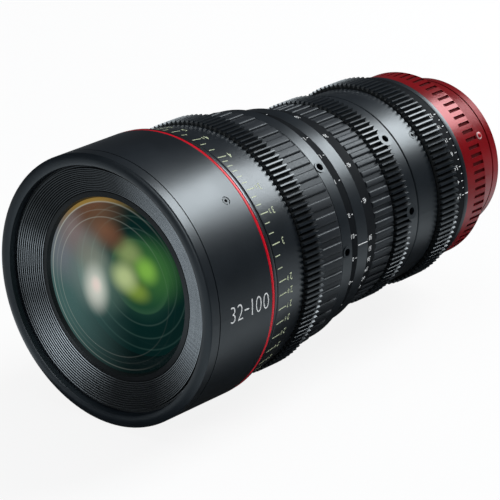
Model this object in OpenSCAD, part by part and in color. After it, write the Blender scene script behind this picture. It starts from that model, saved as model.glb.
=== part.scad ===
// Cinema zoom lens with a three ring control body and a bayonet rear mount.
// The optical axis lies along Y, the front faces -Y, and the origin is on the
// axis at the face of the mount flange. The focus, zoom and iris rings carry
// fine toothed gears. Inside, a cam barrel moves two glass groups, a threaded
// sleeve moves the focus group, and a ring opens nine iris blades.
// Inside each module the axis is z, measured from the front rim.

/* [Front] */
// Radius of the front barrel, which a matte box clamps
front_r = 57; // [55:0.5:60]
// Length of the front barrel
front_len = 37; // [36:0.5:44]
// Width of the crowned front lip
lip_w = 4.5; // [4:0.1:4.8]
// Bevel on the outer edge of the front lip
lip_bevel = 0.4; // [0.3:0.1:0.8]
// Height of the crown across the front lip
lip_crown = 0.6; // [0.4:0.1:0.8]
// Wall of the front barrel behind the baffle
front_wall = 2.5; // [2:0.1:3]
// Depth of the bore that holds the baffle
front_bore_depth = 12; // [12:0.5:14]
// Number of ribs on the baffle
baffle_ribs = 13; // [9:1:15]
// Depth of the outermost rib behind the rim
rib_front_z = 3; // [2.5:0.1:3.4]
// Depth of the innermost rib behind the rim
rib_rear_z = 7.6; // [7:0.1:8]
// Bulge of the front glass
front_glass_bulge = 5.8; // [4:0.1:6]
// Length of the red accent ring
accent_len = 1.3; // [1:0.1:2]
// Depth of the red accent ring below the front barrel
accent_drop = 0.2; // [0.1:0.05:0.3]
// Length of the silver bevel ring
bevel_len = 3; // [2.5:0.1:4]

/* [Focus ring] */
// Gap between the fixed front and the focus ring
front_gap = 0.9; // [0.5:0.1:1.5]
// Length of the focus scale
focus_scale_len = 19.8; // [19:0.1:24]
// Length of the focus gear
focus_gear_len = 10.5; // [8:0.5:12]
// Length of the focus grip
focus_grip_len = 16.5; // [14:0.5:22]
// Number of pads on the focus grip
focus_pads = 50; // [30:1:60]
// Length of the bare band
focus_band_len = 6.5; // [6:0.5:9]
// Length of the rear distance band
distance_len = 6.5; // [4:0.5:9]
// Turn of the focus ring to each side of its middle
focus_turn = 150; // [90:5:150]
// Travel of the focus group to each side of its middle
focus_travel = 6; // [4:0.5:6]

/* [Middle] */
// Length of the fixed index band
mid_len = 7.2; // [5:0.1:10]

/* [Zoom ring] */
// Length of the zoom scale
zoom_scale_len = 8.3; // [6:0.1:12]
// Length of the zoom grip
zoom_grip_len = 14; // [10:0.5:20]
// Number of pads on the zoom grip
zoom_pads = 62; // [30:1:70]
// Length of the zoom gear
zoom_gear_len = 10.2; // [8:0.1:13]
// Length of the bare band behind the zoom gear
zoom_band_len = 7.4; // [7:0.1:10]
// Turn of the zoom ring to each side of its middle
zoom_turn = 80; // [60:5:85]
// Travel of the variator to each side of its middle
variator_travel = 12; // [8:0.5:12]
// Travel of the compensator to each side of its middle
compensator_travel = 4; // [2.5:0.25:4]

/* [Rear barrel] */
// Length of the rear barrel
rear_len = 13.4; // [12:0.1:18]

/* [Iris ring] */
// Length of the iris gear
iris_gear_len = 11.8; // [9:0.1:14]
// Length of the iris scale
iris_scale_len = 6.6; // [5:0.1:9]
// Turn of the iris ring from open to closed
iris_turn = 50; // [35:1:50]
// Turn of each blade from open to closed
blade_turn = 28; // [18:1:28]

/* [Rear] */
// Length of the grey index bevel
index_len = 3.4; // [2.5:0.1:5]
// Length of the red rear ring
name_len = 13.7; // [12:0.1:18]
// Number of slots round the red rear ring
rib_count = 72; // [48:1:80]
// Length of the red mount barrel
flange_len = 20.2; // [20:0.1:24]

/* [Mount] */
// Thickness of the steel flange ring
plate_t = 0.8; // [0.6:0.1:1.5]
// Radius of the bayonet spigot
spigot_r = 25.3; // [25.2:0.05:25.4]
// Wall of the bayonet spigot
spigot_wall = 2.1; // [1.8:0.1:2.2]
// Length of the bayonet spigot behind the flange
spigot_len = 5; // [4.6:0.1:5.4]
// Thickness of the bayonet lugs
lug_t = 1.6; // [1.2:0.1:1.8]
// Gap between the flange and the lugs
lug_gap = 1.6; // [1.3:0.1:1.9]

/* [Tubes] */
// Wall of the wide front of the main tube
tube_front_wall = 2.5; // [2.2:0.1:2.8]
// Wall of the narrow rear of the main tube
tube_rear_wall = 2.2; // [2:0.1:2.3]
// Wall of the cam barrel
cam_wall = 2.34; // [2.2:0.02:2.5]
// Wall of the guide tube
guide_wall = 2.34; // [2.2:0.02:2.5]

/* [Fits] */
// Running clearance between a turning or sliding piece and its seat
fit_gap = 0.06; // [0.04:0.01:0.1]
// Gap between a fixed ring and a turning ring beside it
body_gap = 0.4; // [0.3:0.05:0.6]
// Module of the gear teeth
tooth_module = 0.8; // [0.78:0.01:0.8]

/* [Hidden] */
$fn = 120;

// Small values that several pieces share
overrun = 1;
edge = 0.3;
step_turn = 7.5;

// Radii along the lens, as shares of the front barrel's radius
rib_outer_share = 0.879;
rib_inner_share = 0.693;
front_glass_share = 0.651;
second_glass_share = 0.579;
bevel_rear_share = 0.9825;
focus_scale_share = 0.9755;
focus_root_share = 0.9298;
focus_band_share = 0.8948;
sleeve_share = 0.8685;
distance_share = 0.8527;
mid_share = 0.8422;
tube_front_share = 0.8229;
zoom_scale_share = 0.8176;
zoom_scale_rear_share = 0.793;
zoom_root_share = 0.7684;
rear_share = 0.7597;
name_share = 0.7386;
tube_rear_share = 0.7193;
focus_glass_share = 0.702;
variator_glass_share = 0.4562;
compensator_glass_share = 0.4386;
relay_share = 0.5264;
relay_glass_share = 0.4211;
rib_outer_r = front_r * rib_outer_share;
rib_inner_r = front_r * rib_inner_share;
front_glass_r = front_r * front_glass_share;
second_glass_r = front_r * second_glass_share;
bevel_rear_r = front_r * bevel_rear_share;
focus_scale_r = front_r * focus_scale_share;
focus_band_r = front_r * focus_band_share;
sleeve_r = front_r * sleeve_share;
distance_r = front_r * distance_share;
mid_r = front_r * mid_share;
tube_front_r = front_r * tube_front_share;
zoom_scale_r = front_r * zoom_scale_share;
zoom_scale_rear_r = front_r * zoom_scale_rear_share;
rear_r = front_r * rear_share;
name_r = front_r * name_share;
tube_rear_r = front_r * tube_rear_share;
focus_glass_r = front_r * focus_glass_share;
variator_glass_r = front_r * variator_glass_share;
compensator_glass_r = front_r * compensator_glass_share;
relay_r = front_r * relay_share;
relay_glass_r = front_r * relay_glass_share;

// Radii of the iris, as shares of the front barrel's radius
iris_open_share = 0.33;
actuator_bore_share = 0.36;
blade_w_share = 0.1877;
blade_reach_share = 0.737;
blade_arm_share = 0.1404;
pivot_share = 0.579;
iris_open_r = front_r * iris_open_share;
actuator_bore = front_r * actuator_bore_share;
blade_w = front_r * blade_w_share;
blade_reach = front_r * blade_reach_share;
blade_arm = front_r * blade_arm_share;
pivot_r = front_r * pivot_share;

// Radii of the mount, as shares of its spigot's radius
flange_front_share = 1.4466;
flange_rear_share = 1.3715;
flange_bore_share = 1.245;
flange_lip_share = 1.0474;
plate_share = 1.32;
lug_share = 1.0652;
mount_screw_ring_share = 1.17;
rear_glass_share = 0.6522;
flange_front_r = spigot_r * flange_front_share;
flange_rear_r = spigot_r * flange_rear_share;
flange_bore = spigot_r * flange_bore_share;
flange_lip_bore = spigot_r * flange_lip_share;
plate_r = spigot_r * plate_share;
lug_r = spigot_r * lug_share;
mount_screw_ring = spigot_r * mount_screw_ring_share;
rear_glass_r = spigot_r * rear_glass_share;
spigot_bore = spigot_r - spigot_wall;
block_t = 3.6;
block_gap = 0.4;
rear_cell_r = spigot_bore - block_t - block_gap;

// Stations along the axis, each from the one before
accent_z = front_len;
accent_r = front_r - accent_drop;
accent_taper = 0.2;
bevel_z = accent_z + accent_len;
tube_flange_z = bevel_z + bevel_len;
focus_z = tube_flange_z + front_gap;
focus_gear_z = focus_z + focus_scale_len;
focus_grip_z = focus_gear_z + focus_gear_len;
focus_band_z = focus_grip_z + focus_grip_len;
distance_z = focus_band_z + focus_band_len;
focus_end_z = distance_z + distance_len;
mid_z = focus_end_z + body_gap;
mid_end_z = mid_z + mid_len;
zoom_z = mid_end_z + body_gap;
zoom_grip_z = zoom_z + zoom_scale_len;
zoom_gear_z = zoom_grip_z + zoom_grip_len;
zoom_band_z = zoom_gear_z + zoom_gear_len;
zoom_end_z = zoom_band_z + zoom_band_len;
rear_z = zoom_end_z + body_gap;
rear_end_z = rear_z + rear_len;
iris_z = rear_end_z + body_gap;
iris_scale_z = iris_z + iris_gear_len;
iris_end_z = iris_scale_z + iris_scale_len;
index_z = iris_end_z + body_gap;
name_z = index_z + index_len;
flange_z = name_z + name_len;
plate_z = flange_z + flange_len;
lens_len = plate_z + plate_t;

// Gear teeth, in modules and in shares of one tooth's pitch, as many as a ring's root radius takes
function tooth_count(root) = round(2 * (root / tooth_module + tooth_dedendum_share));
tooth_addendum_share = 1;
tooth_dedendum_share = 1.25;
tooth_root_share = 0.366;
tooth_tip_share = 0.132;
focus_teeth = tooth_count(front_r * focus_root_share);
zoom_teeth = tooth_count(front_r * zoom_root_share);
iris_teeth = zoom_teeth;
focus_tip_r = tooth_module * (focus_teeth / 2 + tooth_addendum_share);
focus_root_r = tooth_module * (focus_teeth / 2 - tooth_dedendum_share);
zoom_tip_r = tooth_module * (zoom_teeth / 2 + tooth_addendum_share);
zoom_root_r = tooth_module * (zoom_teeth / 2 - tooth_dedendum_share);
iris_tip_r = tooth_module * (iris_teeth / 2 + tooth_addendum_share);
iris_root_r = tooth_module * (iris_teeth / 2 - tooth_dedendum_share);

// Main tube, its bores and its front flange
tube_front_bore = tube_front_r - tube_front_wall;
tube_bore = tube_rear_r - tube_rear_wall;
shoulder_t = 2.4;
tube_flange_t = 3;
tube_rim_len = 16;
flange_disc_t = 2;
tube_end_z = flange_z - flange_disc_t;
front_shell_r = front_r - front_wall;

// Front barrel, baffle and the cell that holds the front glass
lip_r = front_r - lip_bevel - lip_w;
lip_bore_step = 0.55;
front_bore_r = lip_r - lip_bore_step;
lip_cone_len = 2.8;
lip_steps = 10;
groove_z = 5.4;
groove_w = 0.5;
groove_depth = 0.25;
land_z = 4.4;
rib_valley = 0.7;
rib_pitch = (rib_outer_r - rib_inner_r) / baffle_ribs;
rib_drop = (rib_rear_z - rib_front_z) / baffle_ribs;
baffle_back_z = 9.4;
retainer_z = 7;
retainer_lap = 0.4;
front_rim_z = 9;
front_edge_t = 6;
front_glass_hollow = 3;
cell_flange_t = 3;
cell_wall = 4.4;
cell_ledge = 1.7;
second_gap = 5;
second_edge_t = 6;
second_front_hollow = 2.4;
second_rear_bulge = 1.5;
front_cell_back = 3;
front_cell_end = front_len - front_cell_back;

// Focus sleeve, focus group and its pins
pin_count = 3;
focus_pin_r = 1.2;
focus_pin_back = 11.8;
focus_pin_z = focus_z + focus_pin_back;
focus_cell_len = 16;
focus_glass_t = 7;
focus_glass_bulge = 4;
focus_per_degree = focus_travel / focus_turn;
pad_rise = 0.9;
pad_share = 0.62;
pad_margin = 0.7;
zoom_valley_r = zoom_root_r;

// Holes that take a lever, and the bosses round them
lever_hole_r = 1.65;
lever_hole_depth = 3.5;
lever_rim_w = 0.8;
lever_rim_h = 0.35;
focus_lever_back = 2.7;
focus_lever_angles = [45, 3];
boss_r = 3.4;
boss_top_drop = 0.2;
boss_foot = 1;
zoom_lever_angles = [48, 6];

// Iris: a housing, nine blades in thin layers, and the ring that turns them
blade_count = 9;
iris_key_back = 2.1;
iris_key_z = iris_z + iris_key_back;
iris_key_r = 1.2;
iris_key_bite = 2;
actuator_t = 2.8;
actuator_z = iris_key_z - 0.5 * actuator_t;
blade_t = 0.2;
blade_pitch = 0.32;
blade_room = 0.3;
blade_z = actuator_z - blade_room - blade_t - (blade_count - 1) * blade_pitch;
blade_outer_r = iris_open_r + blade_w;
blade_start = 10;
pivot_pin_r = 0.7;
pivot_bite = 1.2;
ear_r = 1.9;
ear_neck = 1.4;
housing_plate_t = 1.5;
housing_rim = 1.6;
housing_lap = 0.6;
housing_bore = iris_open_r + housing_lap;
iris_plate_z = blade_z - blade_room;
iris_front_z = iris_plate_z - housing_plate_t;
actuator_gap = 0.1;
actuator_r = tube_bore - housing_rim - actuator_gap;
slot_steps = 16;
slot_run_share = 0.03;
cover_z = actuator_z + actuator_t + body_gap;
cover_t = 0.8;

// Cam barrel, guide tube, key and the two groups in them
cam_r = tube_bore - fit_gap;
cam_bore = cam_r - cam_wall;
guide_r = cam_bore - fit_gap;
guide_bore = guide_r - guide_wall;
guide_lead = 25.6;
cam_lag = 4;
guide_front_z = mid_end_z - guide_lead;
cam_front_z = guide_front_z + cam_lag;
guide_end_z = iris_front_z;
cam_end_gap = 2;
cam_pin_r = 1.5;
pin_end_gap = 0.25;
variator_back = 20;
variator_z = cam_front_z + variator_back;
variator_half = 6;
variator_glass_t = 6;
variator_hollow = 2.5;
group_gap = 29;
compensator_z = variator_z + group_gap;
compensator_front = 5;
compensator_rear = 8;
compensator_glass_t = 6;
compensator_lip = 2.2;
compensator_glass_z = compensator_z - compensator_front + compensator_lip;
compensator_bulge = 2;
variator_per_degree = variator_travel / zoom_turn;
compensator_per_degree = -compensator_travel / zoom_turn;
key_r = 2;
key_turn_margin = 5;
zoom_key_z = zoom_band_z + 0.5 * zoom_band_len;
key_bite = 1.2;

// Relay group and rear cell
relay_front_z = cover_z + cover_t;
relay_front_len = 7;
relay_flange_z = relay_front_z + relay_front_len;
relay_flange_t = 4;
relay_back_len = 9;
relay_skirt = 4;
relay_glass_z = relay_flange_z + relay_back_len;
relay_glass_t = 8;
relay_bulge = 2.5;
relay_end_z = relay_glass_z + relay_glass_t + relay_skirt;
flange_lip_t = 4;
rear_cell_front = 3;
rear_cell_flange_t = 4;
rear_glass_t = 7;
rear_glass_bulge = 1.2;
rear_cell_stand = 2.5;
rear_cell_end_z = lens_len + rear_cell_stand;

// Red rear rings
name_edge = 0.8;
rib_len = 4.6;
rib_back = 0.7;
rib_depth = 0.45;
rib_slot_share = 0.4;
rear_groove_back = 5;
rear_groove_w = 0.9;
rear_groove_depth = 0.5;
dome_r = 1.9;
dome_rise = 0.9;
dome_depth = 1.6;
dome_back = 11.1;
dome_angle = 30;
dome_z = plate_z - dome_back;
dome_seat_r = flange_outer(dome_z);

// Outer radius of the red mount barrel at a station
function flange_outer(z) = flange_front_r
    + (flange_rear_r - flange_front_r) * (z - flange_z - name_edge) / (flange_len - 2 * name_edge);

// Mount details
relief_w = 2;
relief_depth = 0.3;
lock_hole_depth = 2;
lug_turns = [56, 50, 44];
mount_screw_r = 1.5;
mount_screw_count = 4;
mount_screw_turn = 45;
mount_screw_len = 3;
mount_head_sink = 0.15;
lock_hole_r = 1.1;
lock_hole_turn = 200;
block_front = 1.5;
block_len = 6.1;
block_turn = 70;
contact_count = 8;
contact_r = 0.8;
contact_rise = 0.3;
contact_bite = 1.2;
contact_turn = 7.5;

// Screws that hold the barrels
screw_r = 1.55;
screw_bite = 1;
screw_recess_r = 1.9;
screw_recess = 0.35;
screw_sink = 0.1;
screw_socket_r = 0.8;
screw_socket_depth = 0.7;
screw_count = 3;
screw_angle = 45;
front_screw_back = 8.4;
front_screw_z = front_len - front_screw_back;
rear_screw_back = 2.4;
rear_screw_z = rear_end_z - rear_screw_back;

// Places the lens in its own frame, from the front rim to the mount flange
module lens() {
    translate([0, -lens_len, 0])
        rotate([-90, 0, 0])
            children();
}

// Points a piece outward from the axis, at an angle up from the right side
module outward(angle, z) {
    rotate([0, 0, -angle])
        translate([0, 0, z])
            rotate([0, 90, 0])
                children();
}

// A round bar that stands outward from the axis between two radii
module outward_bar(angle, z, r, from_r, to_r) {
    outward(angle, z)
        translate([0, 0, from_r])
            cylinder(r = r, h = to_r - from_r);
}

// A plain ring
module ring(inner, outer, z0, z1) {
    rotate_extrude()
        polygon([[inner, z0], [outer, z0], [outer, z1], [inner, z1]]);
}

// A ring whose outside may taper, with its two outer edges broken
module band(inner, r0, r1, z0, z1) {
    rotate_extrude()
        polygon([
            [inner, z0], [r0 - edge, z0], [r0, z0 + edge],
            [r1, z1 - edge], [r1 - edge, z1], [inner, z1]
        ]);
}

// Depth of a bulged surface below its crown, at x from the axis
function sag(x, r, bulge) =
    bulge == 0 ? 0 : let (big = (r * r + bulge * bulge) / (2 * abs(bulge)))
        sign(bulge) * (big - sqrt(big * big - x * x));

// A glass element between two rims, each face bulged outward or hollow
module element(r, z0, z1, front, rear, steps = 12) {
    rotate_extrude()
        polygon(concat(
            [for (i = [0:steps]) let (x = r * i / steps) [x, z0 - front + sag(x, r, front)]],
            [for (i = [steps:-1:0]) let (x = r * i / steps) [x, z1 + rear - sag(x, r, rear)]]
        ));
}

// The outline of a gear
module gear_outline(teeth, root, tip) {
    pitch = 360 / teeth;
    polygon([
        for (i = [0:teeth - 1])
            for (corner = [[root, -tooth_root_share], [tip, -tooth_tip_share],
                           [tip, tooth_tip_share], [root, tooth_root_share]])
                let (a = pitch * (i + corner[1]))
                    corner[0] * [cos(a), sin(a)]
    ]);
}

module gear(teeth, root, tip, bore, z, length) {
    translate([0, 0, z])
        linear_extrude(length)
            difference() {
                gear_outline(teeth, root, tip);
                circle(r = bore);
            }
}

// A grip: a plain ring with raised pads that stop short of its ends
module grip(count, bore, valley, z, length) {
    ring(bore, valley, z, z + length);
    half = valley * tan(180 * pad_share / count);
    translate([0, 0, z + pad_margin])
        linear_extrude(length - 2 * pad_margin)
            for (i = [0:count - 1])
                rotate(360 * i / count)
                    polygon([
                        [valley - pad_rise, -half], [valley + pad_rise, -half],
                        [valley + pad_rise, half], [valley - pad_rise, half]
                    ]);
}

// The sweep of a pin through a wall that turns while the pin slides
module helix_slot(inner, outer, z, per_degree, turn, pin_r, start) {
    steps = ceil(turn / step_turn);
    reach = turn + (pin_r + fit_gap) / outer * 180 / PI + edge;
    slope = per_degree * 180 / PI / outer;
    half = (pin_r + fit_gap) * sqrt(1 + slope * slope);
    low = inner - overrun;
    high = outer + overrun;
    rows = 2 * steps;
    points = [
        for (i = [0:rows])
            let (turned = reach * (i / steps - 1), a = -start - turned, mid = z + per_degree * turned)
                for (corner = [[low, -half], [high, -half], [high, half], [low, half]])
                    [corner[0] * cos(a), corner[0] * sin(a), mid + corner[1]]
    ];
    walls = [
        for (i = [0:rows - 1], k = [0:3])
            let (a = 4 * i + k, b = 4 * i + (k + 1) % 4)
                each [[a, a + 4, b + 4], [a, b + 4, b]]
    ];
    last = 4 * rows;
    ends = [[0, 1, 2], [0, 2, 3], [last, last + 2, last + 1], [last, last + 3, last + 2]];
    polyhedron(points = points, faces = concat(walls, ends), convexity = 6);
}

// A window round part of a tube, for a key that turns in it
module key_window(inner, outer, z, half, from_turn, to_turn) {
    rotate([0, 0, from_turn])
        rotate_extrude(angle = to_turn - from_turn)
            polygon([
                [inner - overrun, z - half], [outer + overrun, z - half],
                [outer + overrun, z + half], [inner - overrun, z + half]
            ]);
}

// Angles of the pins round a group
function pin_angle(i) = 90 + i * 360 / pin_count;

module front_barrel() {
    color([0.10, 0.10, 0.11])
        lens()
            difference() {
                rotate_extrude()
                    polygon(concat(
                        [for (i = [0:lip_steps])
                            let (across = 2 * i / lip_steps - 1)
                                [lip_r + 0.5 * lip_w * (1 + across), lip_crown * across * across]],
                        [
                            [front_r, lip_crown + lip_bevel],
                            [front_r, groove_z], [front_r - groove_depth, groove_z],
                            [front_r - groove_depth, groove_z + groove_w], [front_r, groove_z + groove_w],
                            [front_r, front_len], [front_shell_r, front_len],
                            [front_shell_r, front_bore_depth], [front_bore_r, front_bore_depth],
                            [front_bore_r, lip_cone_len]
                        ]
                    ));
                at_screws()
                    screw_seat(screw_angle, front_screw_z, front_r, front_wall);
            }
}

// The hole and the shallow recess that a barrel screw sits in
module screw_seat(angle, z, r, wall) {
    outward_bar(angle, z, screw_recess_r, r - screw_recess, r + overrun);
    outward_bar(angle, z, screw_r, r - wall - screw_bite, r + overrun);
}

// A screw through a wall into the tube behind it, with a hexagonal socket
module barrel_screw(angle, z, r, wall) {
    difference() {
        outward_bar(angle, z, screw_r, r - wall - screw_bite, r - screw_sink);
        outward(angle, z)
            translate([0, 0, r - screw_sink - screw_socket_depth])
                cylinder(r = screw_socket_r, h = screw_socket_depth + overrun, $fn = 6);
    }
}

// Places its children once for each barrel screw of a ring of them
module at_screws() {
    for (i = [0:screw_count - 1])
        rotate([0, 0, -i * 360 / screw_count])
            children();
}

module front_baffle() {
    color([0.12, 0.12, 0.13])
        lens()
            rotate_extrude()
                polygon(concat(
                    [[front_bore_r, baffle_back_z], [front_bore_r, land_z], [rib_outer_r + edge, land_z]],
                    [for (i = [0:baffle_ribs - 1])
                        let (r = rib_outer_r - i * rib_pitch, z = rib_front_z + i * rib_drop)
                            each [[r, z], [r - 0.4 * rib_pitch, z], [r - 0.7 * rib_pitch, z + rib_valley]]],
                    [[rib_inner_r, rib_rear_z], [rib_inner_r, baffle_back_z]]
                ));
}

module front_retainer() {
    color([0.08, 0.08, 0.09])
        lens()
            rotate_extrude()
                polygon([
                    [front_glass_r - retainer_lap, front_rim_z - edge],
                    [front_glass_r + retainer_lap, retainer_z], [rib_inner_r, retainer_z + edge],
                    [rib_inner_r, baffle_back_z], [front_glass_r, baffle_back_z],
                    [front_glass_r, front_rim_z - edge]
                ]);
}

module front_cell() {
    seat_z = front_rim_z + front_edge_t;
    second_z = seat_z + second_gap;
    flange_end_z = front_bore_depth + cell_flange_t;
    color([0.14, 0.14, 0.15])
        lens()
            rotate_extrude()
                polygon([
                    [front_glass_r, baffle_back_z], [front_bore_r, baffle_back_z],
                    [front_bore_r, front_bore_depth], [front_shell_r, front_bore_depth],
                    [front_shell_r, flange_end_z], [front_glass_r + cell_wall, flange_end_z],
                    [front_glass_r + cell_wall, second_z],
                    [second_glass_r + cell_wall, second_z + cell_wall],
                    [second_glass_r + cell_wall, front_cell_end],
                    [second_glass_r - cell_ledge, front_cell_end],
                    [second_glass_r - cell_ledge, second_z + second_edge_t + cell_ledge],
                    [second_glass_r, second_z + second_edge_t],
                    [second_glass_r, seat_z], [front_glass_r, seat_z]
                ]);
}

module front_glass() {
    color([0.30, 0.55, 0.35, 0.5])
        lens()
            element(front_glass_r, front_rim_z, front_rim_z + front_edge_t,
                    front_glass_bulge, -front_glass_hollow);
}

module second_glass() {
    second_z = front_rim_z + front_edge_t + second_gap;
    color([0.55, 0.60, 0.45, 0.5])
        lens()
            element(second_glass_r, second_z, second_z + second_edge_t,
                    -second_front_hollow, second_rear_bulge);
}

module accent_ring() {
    color([0.75, 0.05, 0.08])
        lens()
            band(front_shell_r, accent_r, accent_r - accent_taper, accent_z, bevel_z);
}

module bevel_ring() {
    color([0.62, 0.64, 0.66])
        lens()
            band(front_shell_r, front_r, bevel_rear_r, bevel_z, tube_flange_z);
}

module main_tube() {
    window_half = key_r + fit_gap;
    iris_half = iris_key_r + fit_gap;
    color([0.55, 0.56, 0.58])
        lens()
            difference() {
                rotate_extrude()
                    polygon([
                        [tube_front_bore, tube_flange_z - tube_flange_t],
                        [front_shell_r - front_wall, tube_flange_z - tube_flange_t],
                        [front_shell_r - front_wall, tube_flange_z - tube_rim_len],
                        [front_shell_r, tube_flange_z - tube_rim_len], [front_shell_r, tube_flange_z],
                        [tube_front_r, tube_flange_z], [tube_front_r, mid_end_z],
                        [tube_rear_r, mid_end_z], [tube_rear_r, tube_end_z],
                        [tube_bore, tube_end_z], [tube_bore, mid_end_z - shoulder_t],
                        [tube_front_bore, mid_end_z - shoulder_t]
                    ]);
                for (i = [0:pin_count - 1])
                    guide_slot(pin_angle(i), focus_pin_z, focus_travel, focus_pin_r,
                               tube_front_bore, tube_front_r);
                key_window(tube_bore, tube_rear_r, zoom_key_z, window_half,
                           -zoom_turn - key_turn_margin, zoom_turn + key_turn_margin);
                key_window(tube_bore, tube_rear_r, iris_key_z, iris_half,
                           -key_turn_margin, iris_turn + key_turn_margin);
                at_screws() {
                    outward_bar(screw_angle, front_screw_z, screw_r, front_shell_r - screw_bite, front_r);
                    outward_bar(screw_angle, rear_screw_z, screw_r, tube_rear_r - screw_bite, rear_r);
                }
            }
}

// A straight slot along a tube, for a pin that slides in it
module guide_slot(angle, z, travel, pin_r, inner, outer) {
    half = pin_r + fit_gap;
    reach = travel + half + edge;
    outward(angle, z)
        translate([-reach, -half, inner - overrun])
            cube([2 * reach, 2 * half, outer - inner + 2 * overrun]);
}

module mid_ring() {
    color([0.36, 0.37, 0.39])
        lens()
            band(tube_front_r, mid_r, mid_r, mid_z, mid_end_z);
}

module rear_barrel() {
    color([0.20, 0.21, 0.22])
        lens()
            difference() {
                band(tube_rear_r, rear_r, rear_r, rear_z, rear_end_z);
                at_screws()
                    screw_seat(screw_angle, rear_screw_z, rear_r, rear_r - tube_rear_r);
            }
}

module barrel_screws() {
    color([0.25, 0.25, 0.26])
        lens()
            at_screws() {
                barrel_screw(screw_angle, front_screw_z, front_r, front_wall);
                barrel_screw(screw_angle, rear_screw_z, rear_r, rear_r - tube_rear_r);
            }
}

module index_ring() {
    color([0.36, 0.39, 0.42])
        lens()
            band(tube_rear_r, rear_r, name_r, index_z, name_z);
}

module name_ring() {
    slot_w = 2 * PI * name_r / rib_count * rib_slot_share;
    color([0.70, 0.05, 0.08])
        lens()
            difference() {
                rotate_extrude()
                    polygon([
                        [tube_rear_r, name_z], [name_r - edge, name_z], [name_r, name_z + edge],
                        [name_r, flange_z - edge], [name_r - edge, flange_z], [tube_rear_r, flange_z]
                    ]);
                translate([0, 0, flange_z - rib_back - rib_len])
                    linear_extrude(rib_len)
                        for (i = [0:rib_count - 1])
                            rotate(360 * i / rib_count)
                                translate([name_r - rib_depth, -0.5 * slot_w])
                                    square([rib_depth + overrun, slot_w]);
            }
}

module rear_flange() {
    groove_start = plate_z - rear_groove_back - rear_groove_w;
    groove_end = plate_z - rear_groove_back;
    color([0.72, 0.06, 0.09])
        lens()
            difference() {
                rotate_extrude()
                    polygon([
                        [flange_bore, flange_z - flange_disc_t], [tube_rear_r, flange_z - flange_disc_t],
                        [tube_rear_r, flange_z], [flange_front_r + name_edge, flange_z],
                        [flange_front_r, flange_z + name_edge],
                        [flange_outer(groove_start), groove_start],
                        [flange_outer(groove_start) - rear_groove_depth, groove_start],
                        [flange_outer(groove_end) - rear_groove_depth, groove_end],
                        [flange_outer(groove_end), groove_end],
                        [flange_rear_r, plate_z - name_edge], [flange_rear_r - name_edge, plate_z],
                        [flange_lip_bore, plate_z], [flange_lip_bore, plate_z - flange_lip_t],
                        [flange_bore, plate_z - flange_lip_t]
                    ]);
                outward_bar(dome_angle, dome_z, dome_r, dome_seat_r - dome_depth, flange_front_r + overrun);
                for (i = [0:mount_screw_count - 1])
                    mount_screw_place(i)
                        translate([0, 0, -mount_screw_len])
                            cylinder(r = mount_screw_r, h = mount_screw_len + overrun);
                lock_hole();
            }
}

module mount_screw_place(i) {
    rotate([0, 0, mount_screw_turn + i * 360 / mount_screw_count])
        translate([mount_screw_ring, 0, plate_z])
            children();
}

// The blind hole that takes the camera's lock pin
module lock_hole() {
    rotate([0, 0, lock_hole_turn])
        translate([mount_screw_ring, 0, plate_z - lock_hole_depth])
            cylinder(r = lock_hole_r, h = lock_hole_depth + plate_t + overrun);
}

module mount_ring() {
    spigot_end = lens_len + spigot_len;
    lug_z = lens_len + lug_gap;
    color([0.75, 0.76, 0.78])
        lens() {
            difference() {
                rotate_extrude()
                    polygon([
                        [spigot_bore, plate_z], [plate_r, plate_z], [plate_r, lens_len - edge],
                        [plate_r - edge, lens_len], [spigot_r + relief_w, lens_len],
                        [spigot_r + relief_w, lens_len - relief_depth], [spigot_r, lens_len - relief_depth],
                        [spigot_r, spigot_end - edge], [spigot_r - edge, spigot_end],
                        [spigot_bore, spigot_end]
                    ]);
                for (i = [0:mount_screw_count - 1])
                    mount_screw_place(i)
                        translate([0, 0, -overrun])
                            cylinder(r = mount_screw_r, h = plate_t + 2 * overrun);
                lock_hole();
            }
            for (i = [0:len(lug_turns) - 1])
                rotate([0, 0, i * 360 / len(lug_turns) - 0.5 * lug_turns[i]])
                    rotate_extrude(angle = lug_turns[i])
                        polygon([
                            [spigot_r - edge, lug_z], [lug_r, lug_z],
                            [lug_r, lug_z + lug_t], [spigot_r - edge, lug_z + lug_t]
                        ]);
        }
}

module mount_screws() {
    head_z = plate_t - mount_head_sink;
    slot_depth = mount_head_sink + edge;
    color([0.45, 0.46, 0.48])
        lens()
            for (i = [0:mount_screw_count - 1])
                mount_screw_place(i)
                    difference() {
                        translate([0, 0, -mount_screw_len])
                            cylinder(r = mount_screw_r, h = mount_screw_len + head_z);
                        for (turn = [0, 90])
                            rotate([0, 0, turn])
                                translate([-screw_socket_r, -mount_head_sink, head_z - slot_depth])
                                    cube([2 * screw_socket_r, 2 * mount_head_sink, overrun]);
                    }
}

module contact_block() {
    color([0.06, 0.06, 0.06])
        lens()
            difference() {
                rotate([0, 0, 90 - 0.5 * block_turn])
                    rotate_extrude(angle = block_turn)
                        translate([spigot_bore - block_t, lens_len - block_front])
                            square([block_t, block_len]);
                for (i = [0:contact_count - 1])
                    contact_place(i)
                        cylinder(r = contact_r, h = contact_bite + overrun);
            }
}

module contact_place(i) {
    rotate([0, 0, 90 + (i - 0.5 * (contact_count - 1)) * contact_turn])
        translate([spigot_bore - 0.5 * block_t, 0, lens_len - block_front + block_len - contact_bite])
            children();
}

module contact_pins() {
    color([0.85, 0.68, 0.30])
        lens()
            for (i = [0:contact_count - 1])
                contact_place(i)
                    cylinder(r = contact_r, h = contact_bite + contact_rise);
}

module index_dome() {
    color([0.80, 0.10, 0.12])
        lens()
            outward(dome_angle, dome_z)
                element(dome_r, dome_seat_r - dome_depth, dome_seat_r, 0, dome_rise);
}

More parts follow.
